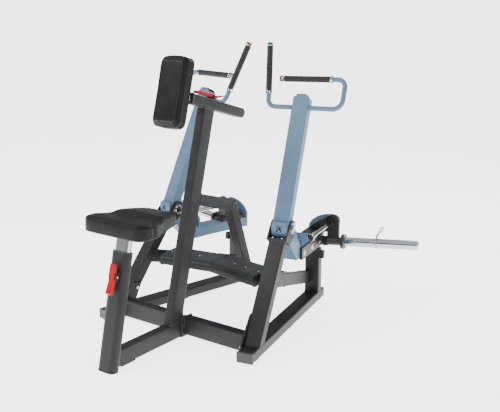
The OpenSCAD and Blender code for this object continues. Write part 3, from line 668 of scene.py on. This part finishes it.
def build_chest_pad():
    """The chest pad: crowned ends, a bevel, a flat front panel and three seams."""
    pf = PadFrame()
    w, h = pf.w, (pf.high - pf.low) / 2
    t = pf.front - pf.back
    count = 128

    def ring(inward, d, r, crown=0.0):
        pts = ring_points(round_box(w - inward, h - inward - 0.010, r), count)
        out = []
        for x, y in pts:
            lift = crown * (1 - (x / w) ** 2) * min(1, abs(y) / h) ** 6
            out.append(pf.at(x, y + math.copysign(lift, y), d))
        return out
    rings = [ring(0.030, 0.0, 0.01), ring(0.010, 0.0, 0.016), ring(0.003, 0.0012, 0.02, 0.013),
             ring(0.001, 0.006, 0.022, 0.015), ring(0.001, 0.018, 0.022, 0.016),
             ring(0.001, t - 0.030, 0.022, 0.016), ring(0.0015, t - 0.0245, 0.022, 0.015),
             ring(0.0105, t - 0.0125, 0.018, 0.008), ring(0.0200, t - 0.0025, 0.013, 0.002),
             ring(0.0235, t - 0.0012, 0.011, 0.0)]
    front = ring(0.026, t - 0.0008, 0.010)
    rings.append(front)
    mid = pf.at(0, 0, t)
    for shrink in (0.88, 0.74, 0.58, 0.42, 0.26, 0.12):
        rings.append([mid + (p - mid) * shrink for p in front])
    me = cushion_mesh("chest_pad_upholstery", rings, mid)
    o = add("chest_pad_upholstery", me, "upholstery", "pad", replaces=("chest_pad",), angle=180)
    swell(o, 0.0055, 2.0, 0.0018, lambda p: p.dot(pf.d) < pf.back + 0.003)
    finish_cushion(o, ((3, 0.5), (6, 0.7), (8, 0.75)), count)
    tree = surface_of(o)
    dense = [pf.at(x, y, 0.007) for x, y in ring_points(round_box(w, h, 0.02), 240)]
    seam("chest_pad_back_seam", tree, dense, 0.0013, "pad", sink=0.4)
    # seams follow the creased rings of the finished cushion
    for name, k in (("chest_pad_front_seam", 8), ("chest_pad_side_seam", 6)):
        pts = [o.data.vertices[k * count + i].co.copy() for i in range(count)]
        loop = []
        for i in range(count):
            loop += [pts[i], (pts[i] + pts[(i + 1) % count]) / 2]
        seam(name, tree, loop, 0.0011, "pad", sink=0.45)


build_seat()
build_chest_pad()


# ---------------------------------------------------------------- handles

# Centre line of the handle in the side frame, in millimetres, as in the part's source.
INNER_TOP = (-222, 818, 1393)
CORNER_IN, CORNER_OUT = (-176, 687, 1098), (212, 687, 1098)
CORNER_UP, UPPER_IN = (206, 770, 1237), (-128, 770, 1232)
TUBE, GRIP = 0.0125, 0.016          # radii
BENDS = (0.040, 0.048, 0.044)
GRIP_LENGTH, GRIP_ROWS = 0.243, 60


def build_handle(side):
    """One bent handle with two ribbed grips, their collars, end caps and red rings."""
    key = side.key
    path = [local(side, *p) for p in (INNER_TOP, CORNER_IN, CORNER_OUT, CORNER_UP, UPPER_IN)]
    line = rounded_path(path, BENDS)
    bm = bmesh.new()
    sweep(bm, line, TUBE, steps=28)
    add(key + "_handle_tube", to_mesh(bm, key + "_handle_tube"), "arm_paint", side.arm,
        replaces=(key + "_handle",))
    grips, chrome, rings = bmesh.new(), bmesh.new(), bmesh.new()
    for end, inner, skip in ((INNER_TOP, CORNER_IN, 0.004), (UPPER_IN, CORNER_UP, 0.010)):
        p = local(side, *end)
        a = (local(side, *inner) - p).normalized()
        profile = [(0, TUBE + 0.001), (0, GRIP - 0.0006), (0.0012, GRIP)]
        length = GRIP_LENGTH
        for i in range(GRIP_ROWS):
            f = 0.004 + (length - 0.008) * i / (GRIP_ROWS - 1)
            profile.append((f, GRIP - (0.0004 if i % 2 else 0.0)))
        profile += [(length - 0.0012, GRIP), (length, GRIP - 0.0006), (length, TUBE + 0.001)]
        lathe(grips, p + a * skip, a, profile, 40, capped=False)
        # collar at the grip's inner end
        lathe(chrome, p + a * (skip + length + 0.001), a,
              [(0, TUBE), (0, 0.0172), (0.001, 0.0182), (0.0105, 0.0182), (0.012, 0.0172),
               (0.012, TUBE)], 40, capped=False)
        # cap at the free end: flange, neck and dished head
        lathe(chrome, p - a * 0.018, a,
              [(0.0, 0.0), (0.0, 0.011), (0.0008, 0.0135), (0.0022, 0.0158), (0.0045, 0.0168),
               (0.0062, 0.0162), (0.0070, 0.0138), (0.0072, 0.0138)], 40, capped=False)
        lathe(chrome, p - a * 0.0073, a,
              [(0.0035, 0.0138), (0.0037, 0.0166), (0.0048, 0.0172), (0.0100, 0.0172),
               (0.0110, 0.0164), (0.0110, TUBE)], 40, capped=False)
        lathe(rings, p - a * 0.0109, a, [(0.0, 0.0135), (0.0002, 0.0150), (0.0040, 0.0150),
                                         (0.0042, 0.0135)], 40, capped=False)
    add(key + "_grip_rubber", to_mesh(grips, key + "_grip_rubber"), "grip_rubber", side.arm,
        replaces=(key + "_grips",), angle=50)
    add(key + "_grip_chrome", to_mesh(chrome, key + "_grip_chrome"), "chrome", side.arm,
        replaces=(key + "_handle_fittings",))
    add(key + "_grip_rings", to_mesh(rings, key + "_grip_rings"), "red_plastic", side.arm)


def build_hub_cover(side):
    """The housing in front of the hub, with an arch in it and a near black plate behind that as
    painted shade.
    """
    key = side.key
    bm = bmesh.new()
    outline = ([(x / 1000, z / 1000) for x, z in [(-42, 500), (-34, 493), (34, 493), (42, 500)]]
               + [(0.042, 0.560), (0.034, 0.572), (-0.034, 0.572), (-0.042, 0.560)])
    hole = arc(0, 0.5385, 0.0145, 0, 180, 14) + [(-0.0145, 0.522), (-0.0075, 0.522),
                                                (-0.0075, 0.533), (0.0075, 0.533),
                                                (0.0075, 0.522), (0.0145, 0.522)]

    def place(x, z, h):
        bow = 0.014 * ((z - 0.5325) / 0.04) ** 2
        return side.at(x, 0.405 - PS - h + bow, z - PZ)
    plate(bm, outline, -0.016, 0.003, place, holes=[hole])
    o = add(key + "_hub_cover", to_mesh(bm, key + "_hub_cover"), "arm_paint", side.arm)
    bevel(o, 0.003, 3)
    # a dark plate behind the arch: painted shade for the gap under the hub
    bm = bmesh.new()
    plate(bm, round_box(0.024, 0.022, 0.004), -0.0145, -0.0115,
          lambda x, z, h: side.at(x, 0.405 - PS - h, z + 0.534 - PZ))
    add(key + "_hub_painted_shade", to_mesh(bm, key + "_hub_painted_shade"), "dark", side.arm)


def screw(bm, seat, axis, r, tall=1.0):
    """A washer and a domed head with a hexagon socket; tall scales how far it stands out."""
    a = Vector(axis).normalized()
    seat = Vector(seat)
    outer = [(0, 0), (0, r * 1.45), (0.0009, r * 1.5), (0.0014, r * 1.4), (0.0014, r),
             (0.0024, r), (0.0042, r * 0.86), (0.0050, r * 0.62), (0.0050, r * 0.5)]
    inner = [(0.0050, r * 0.52), (0.0024, r * 0.46), (0.0024, 0)]
    lathe(bm, seat, a, [(h * tall, q) for h, q in outer], 32, capped=False)
    lathe(bm, seat, a, [(h * tall, q) for h, q in inner], 6, capped=False)


# Rail screws, in side frame metres. Their heads stay low, because the carriage passes 3 mm
# off the rail's face.
RAIL_SCREWS_S, RAIL_SCREW_Z, RAIL_SCREW_TALL = (0.625, 0.742, 0.859), 0.363, 0.36
STOP_R, STOP_LOBE = 0.0400, 0.0075
SHANK_LENGTH = 0.082


def build_rail_parts(side):
    """Screws of the guide rail, the rod's end fittings, the horn's stop and its sleeve."""
    key = side.key
    bm = bmesh.new()
    face = max((v.co - side.pivot).dot(side.t) for v in NODES[key + "_guide_rail"].data.vertices)
    for s in RAIL_SCREWS_S:
        screw(bm, side.at(face, s - PS, RAIL_SCREW_Z - PZ), side.t, 0.0088,
              tall=RAIL_SCREW_TALL)
    add(key + "_rail_screws", to_mesh(bm, key + "_rail_screws"), "chrome", side.arm)
    rod = [v.co for v in NODES[key + "_guide_rod"].data.vertices]
    front = min(v.dot(side.s) for v in rod)
    lows = [v for v in rod if v.dot(side.s) < front + 0.001]
    c = sum(lows, Vector()) / len(lows)
    a = -side.s
    bm = bmesh.new()
    lathe(bm, c - a * 0.0095, a, [(0, 0.0180), (0.0025, 0.0188), (0.010, 0.0188),
                                  (0.0125, 0.0180), (0.0135, 0.0166), (0.0122, 0.0150),
                                  (0.0115, 0.0)], 48, capped=False)
    add(key + "_rod_flare", to_mesh(bm, key + "_rod_flare"), "chrome", side.arm)
    bm = bmesh.new()
    lathe(bm, c + a * 0.0015, a, [(0, 0.0), (0, 0.0118), (0.001, 0.0126), (0.0042, 0.0126),
                                  (0.0052, 0.0112), (0.0052, 0.0062), (0.002, 0.0056),
                                  (0.002, 0.0)], 40, capped=False)
    add(key + "_rod_bolt", to_mesh(bm, key + "_rod_bolt"), "black_plastic", side.arm)
    # stop flange with two lobes, round the horn's root
    m = [q for q in RECORD["mounts"] if q["name"] == key + "_horn"][0]
    out = Vector(m["axis"]).normalized()
    on = Vector(m["pos_m"])
    horn = [v.co for v in NODES[key + "_horn"].data.vertices]
    wide = [v for v in horn if ((v - on) - out * (v - on).dot(out)).length > 0.037]
    near = min((v - on).dot(out) for v in wide)
    far = max((v - on).dot(out) for v in wide)
    up = (Z - out * Z.dot(out)).normalized()
    across = out.cross(up)
    ring = []
    for i in range(96):
        q = 2 * math.pi * i / 96
        lobe = STOP_LOBE * max(0, math.cos(q * 2 + 0.9)) ** 2
        ring.append((math.cos(q) * (STOP_R + lobe), math.sin(q) * (STOP_R + lobe)))
    inner = [(math.cos(2 * math.pi * i / 64) * 0.0254, math.sin(2 * math.pi * i / 64) * 0.0254)
             for i in range(64)]
    bm = bmesh.new()
    plate(bm, ring, near - 0.0006, far + 0.0012,
          lambda x, y, h: on + out * h + across * x + up * y, holes=[inner])
    o = add(key + "_horn_stop", to_mesh(bm, key + "_horn_stop"), "black_plastic", side.carriage)
    bevel(o, 0.003, 3)
    bm = bmesh.new()
    lathe(bm, on + out * (near - 0.0012), out, [(0, 0.0176), (0, 0.037), (0.0008, 0.037),
                                                (0.0008, 0.0176)], 48, capped=False)
    add(key + "_horn_stop_back", to_mesh(bm, key + "_horn_stop_back"), "black_plastic",
        side.carriage)
    # dark sleeve over the shank, from the carriage's boss to the stop
    gap = SHANK_LENGTH
    bm = bmesh.new()
    lathe(bm, on + out * (near - gap), out,
          [(0, 0.0178), (0, 0.0215), (0.0012, 0.0225), (gap - 0.0030, 0.0225),
           (gap - 0.0018, 0.0215), (gap - 0.0018, 0.0178)], 56, capped=False)
    add(key + "_shank_sleeve", to_mesh(bm, key + "_shank_sleeve"), "black_plastic",
        side.carriage)


for side in SIDES:
    build_handle(side)
    build_hub_cover(side)
    build_rail_parts(side)


# ---------------------------------------------------------------- spring clips

def build_clip(side):
    """One spring clip: a turn of wire round the horn that ends in a thumb loop."""
    key = side.key
    j = JOINTS[key + "_clip_slide"]
    a = Vector(j["axis"]).normalized()
    m = [q for q in RECORD["mounts"] if q["name"] == key + "_horn"][0]
    on_axis = Vector(m["pos_m"])
    # the ring's place along the horn: the end of the node that is nearest the machine
    vs = [v.co for v in NODES[key + "_horn_clip"].data.vertices]
    near = min((v - on_axis).dot(a) for v in vs)
    c = on_axis + a * (near + 0.004)
    up = (Z - a * Z.dot(a)).normalized()
    out = a.cross(up)
    wire = 0.0034
    r = m["dims"]["r_mm"] / 1000 + wire + 0.0003
    pts = []
    n = 72
    for i in range(n + 1):
        t = i / n
        ang = math.radians(100) + t * math.radians(340)
        pts.append(c + (out * math.cos(ang) + up * math.sin(ang)) * r + a * (0.0042 * (t - 0.5)))
    # the two ends rise, lean outwards and close in a thumb loop
    head = [pts[0] + up * 0.055 - out * 0.004 + a * 0.027, pts[0] + up * 0.012 + a * 0.004]
    tail = [pts[-1] + up * 0.012 + a * 0.007, pts[-1] + up * 0.055 + out * 0.004 + a * 0.039]
    line = head + pts + tail
    bm = bmesh.new()
    sweep(bm, line, wire, steps=12)
    top = (head[0] + tail[1]) / 2 + up * 0.007 + a * 0.003
    sweep(bm, [head[0], head[0].lerp(top, 0.6) + up * 0.002, top,
               tail[1].lerp(top, 0.6) + up * 0.002, tail[1]], wire, steps=12)
    add(key + "_spring_clip", to_mesh(bm, key + "_spring_clip"), "chrome", key + "_clip",
        replaces=(key + "_horn_clip",))


for side in SIDES:
    build_clip(side)


# ---------------------------------------------------------------- welds

def cap_plane(node, direction):
    """The flat end of a node that faces a direction: (point, normal)."""
    direction = Vector(direction).normalized()
    groups = {}
    me = NODES[node].data
    for f in me.polygons:
        nrm = f.normal
        if nrm.dot(direction) < 0.55:
            continue
        key = (round(nrm.x, 2), round(nrm.y, 2), round(nrm.z, 2), round(f.center.dot(nrm), 3))
        groups.setdefault(key, []).append(f)
    best, far = None, -1e9
    top = max(sum(f.area for f in g) for g in groups.values())
    for g in groups.values():
        if sum(f.area for f in g) < 0.15 * top:
            continue
        c = sum((f.center * f.area for f in g), Vector()) / sum(f.area for f in g)
        if c.dot(direction) > far:
            best, far = (c, g[0].normal.copy()), c.dot(direction)
    return best


def section(node, point, normal):
    """Closed outlines where a plane cuts a node."""
    bm = bmesh.new()
    bm.from_mesh(NODES[node].data)
    bmesh.ops.remove_doubles(bm, verts=bm.verts, dist=1e-5)
    r = bmesh.ops.bisect_plane(bm, geom=bm.verts[:] + bm.edges[:] + bm.faces[:],
                               plane_co=point, plane_no=normal)
    edges = {e for e in r["geom_cut"] if isinstance(e, bmesh.types.BMEdge)}
    loops = []
    while edges:
        e = edges.pop()
        a, b = e.verts
        loop = [a.co.copy(), b.co.copy()]
        start, tip = a, b
        while tip is not start:
            step = next((x for x in tip.link_edges if x in edges), None)
            if step is None:
                break
            edges.discard(step)
            tip = step.other_vert(tip)
            loop.append(tip.co.copy())
        if tip is start:
            loops.append(loop[:-1])
    bm.free()
    return loops


def resample(loop, step):
    """A closed outline with points about a step apart."""
    out = []
    for i, p in enumerate(loop):
        q = loop[(i + 1) % len(loop)]
        n = max(1, int((q - p).length / step))
        out += [p.lerp(q, k / n) for k in range(n)]
    return out


BEAD = 0.0026


def weld(node, direction, pick=None):
    """A weld bead round the end of a node; pick chooses among several cut outlines."""
    point, normal = cap_plane(node, direction)
    loops = section(node, point - normal * 0.0012, normal)
    if pick:
        loops = [l for l in loops if pick(sum(l, Vector()) / len(l))]
    if not loops:
        return
    size = [sum((l[i] - l[i - 1]).length for i in range(len(l))) for l in loops]
    loop = loops[size.index(max(size))]
    name = "weld_" + node + "_%d" % len([o for o in bpy.data.objects
                                         if o.name.startswith("weld_" + node)])
    bm = bmesh.new()
    sweep(bm, resample(loop, 0.0024), BEAD, closed=True, steps=8, wobble=0.5, seed=len(name))
    add(name, to_mesh(bm, name), "weld", "frame", angle=80)


weld("mast", (0, 0, -1))
weld("mast", (0, 0, 1))
weld("upper_brace", (0, -1, 0))
weld("upper_brace", (0, 1, 0))
weld("rear_leg", (0, 0, -1))
weld("base_beam", (0, -1, 0))
for side in SIDES:
    key = side.key
    right = side.sign > 0
    own = (lambda c: c.x > 0) if right else (lambda c: c.x < 0)
    weld(key + "_upright", (0, 0, -1))
    weld(key + "_rear_post", (0, 0, -1))
    weld(key + "_upright", (0, 0.3, 1))
    weld("mid_braces", side.s, pick=own)
    weld("mid_braces", -side.s, pick=own)
    weld("cross_rails", side.t, pick=own)


# ---------------------------------------------------------------- tread mats on the foot plates

PLATE_TURN, PLATE_DEPTH = math.radians(9), 0.168
PANELS = ((-0.020, 0.146), (0.1475, 0.304))
FOOT_SCREWS = ((0.105, 0.078), (0.190, 0.070), (0.275, 0.078))


def build_treads():
    """A rubber cover that follows each foot plate over its rounded front, and its screws."""
    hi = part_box("foot_plates")[1]
    front = hi.y - PLATE_DEPTH * math.cos(PLATE_TURN)
    r, skin = 0.030, 0.0018
    top = hi.z
    outer, inner = [], []
    for a in range(200, 89, -8):
        c, q = math.cos(math.radians(a)), math.sin(math.radians(a))
        outer.append((r + c * (r + skin), top - r + q * (r + skin)))
        inner.append((r + c * r, top - r + q * r))
    outer += [(r, top + skin), (0.1655, top + skin), (0.1668, top)]
    inner.append((r, top))
    profile = outer + inner[::-1]

    def turned(x, y):
        return (x * math.cos(PLATE_TURN) + y * math.sin(PLATE_TURN),
                front - x * math.sin(PLATE_TURN) + y * math.cos(PLATE_TURN))
    for k, word in ((-1, "left"), (1, "right")):
        def place(y, z, x, k=k):
            px, py = turned(x, y)
            return Vector((k * max(px, 0.0012), py, z))
        bm = bmesh.new()
        for x0, x1 in PANELS:
            plate(bm, profile, x0, x1, place)
        name = "foot_tread_" + word
        o = add(name, to_mesh(bm, name), "tread", "frame")
        bevel(o, 0.0006, 2)
        bm = bmesh.new()
        for x, y in FOOT_SCREWS:
            px, py = turned(x, y)
            screw(bm, Vector((k * px, py, top + skin - 0.0004)), Z, 0.0045)
        name = "foot_screws_" + word
        add(name, to_mesh(bm, name), "chrome", "frame")


build_treads()


# ---------------------------------------------------------------- studio

FLOOR_GLOW = 3.0       # keeps the floor pale beside the very dark paint
BACKDROP = 4.7         # what the camera sees beyond the floor, matched to the floor
WORLD_LIGHT = 1.15


def studio():
    """A plain pale floor, soft light and the camera."""
    floor = bpy.data.meshes.new("floor")
    bm = bmesh.new()
    bmesh.ops.create_grid(bm, x_segments=8, y_segments=8, size=30)
    bm.to_mesh(floor)
    bm.free()
    o = bpy.data.objects.new("floor", floor)
    bpy.context.scene.collection.objects.link(o)
    m = material("studio_floor", (0.9, 0.9, 0.9), 0.6, spread=0.004, specular=0.2,
                 rough_spread=0.05, mottle=2)
    floor.materials.append(m)
    glow = m.node_tree.nodes["Principled BSDF"]
    glow.inputs["Emission Color"].default_value = (1, 1, 1, 1)
    glow.inputs["Emission Strength"].default_value = FLOOR_GLOW
    w = bpy.data.worlds.new("studio")
    bpy.context.scene.world = w
    w.use_nodes = True
    nt = w.node_tree
    soft = nt.nodes["Background"]
    seen = nt.nodes.new("ShaderNodeBackground")
    seen.inputs["Strength"].default_value = BACKDROP
    path = nt.nodes.new("ShaderNodeLightPath")
    mix = nt.nodes.new("ShaderNodeMixShader")
    coords = nt.nodes.new("ShaderNodeTexCoord")
    split = nt.nodes.new("ShaderNodeSeparateXYZ")
    ramp = nt.nodes.new("ShaderNodeValToRGB")
    ramp.color_ramp.elements[0].position = 0.0
    ramp.color_ramp.elements[0].color = (0.5, 0.5, 0.5, 1)
    ramp.color_ramp.elements[1].position = 1.0
    ramp.color_ramp.elements[1].color = (1, 1, 1, 1)
    for at, v in ((0.06, 0.75), (0.16, 0.12), (0.34, 0.16), (0.5, 0.95)):
        e = ramp.color_ramp.elements.new(at)
        e.color = (v, v, v, 1)
    nt.links.new(coords.outputs["Generated"], split.inputs["Vector"])
    nt.links.new(split.outputs["Z"], ramp.inputs["Fac"])
    nt.links.new(ramp.outputs["Color"], soft.inputs["Color"])
    soft.inputs["Strength"].default_value = WORLD_LIGHT
    nt.links.new(path.outputs["Is Camera Ray"], mix.inputs["Fac"])
    nt.links.new(soft.outputs["Background"], mix.inputs[1])
    nt.links.new(seen.outputs["Background"], mix.inputs[2])
    nt.links.new(mix.outputs["Shader"], nt.nodes["World Output"].inputs["Surface"])

    def area(name, loc, size, power):
        """A rectangular lamp that faces the middle of the machine."""
        light = bpy.data.lights.new(name, "AREA")
        light.shape = "RECTANGLE"
        light.size, light.size_y = size
        light.energy = power
        lo = bpy.data.objects.new(name, light)
        bpy.context.scene.collection.objects.link(lo)
        lo.location = loc
        d = Vector((0, 0, 0.6)) - Vector(loc)
        lo.rotation_euler = d.to_track_quat("-Z", "Y").to_euler()
    area("key", (-1.8, -2.6, 3.6), (2.4, 1.8), 150)
    area("fill", (3.6, -1.4, 2.6), (1.8, 2.4), 45)
    area("back", (0.6, 3.6, 3.0), (3.0, 1.2), 80)

    cam = bpy.data.cameras.new("camera")
    cam.lens = 56.7
    cam.sensor_width = 36
    co = bpy.data.objects.new("camera", cam)
    bpy.context.scene.collection.objects.link(co)
    co.location = (2.431, -2.9625, 1.556)
    co.rotation_euler = (math.radians(76.27), 0, math.radians(36.05))
    bpy.context.scene.camera = co


studio()
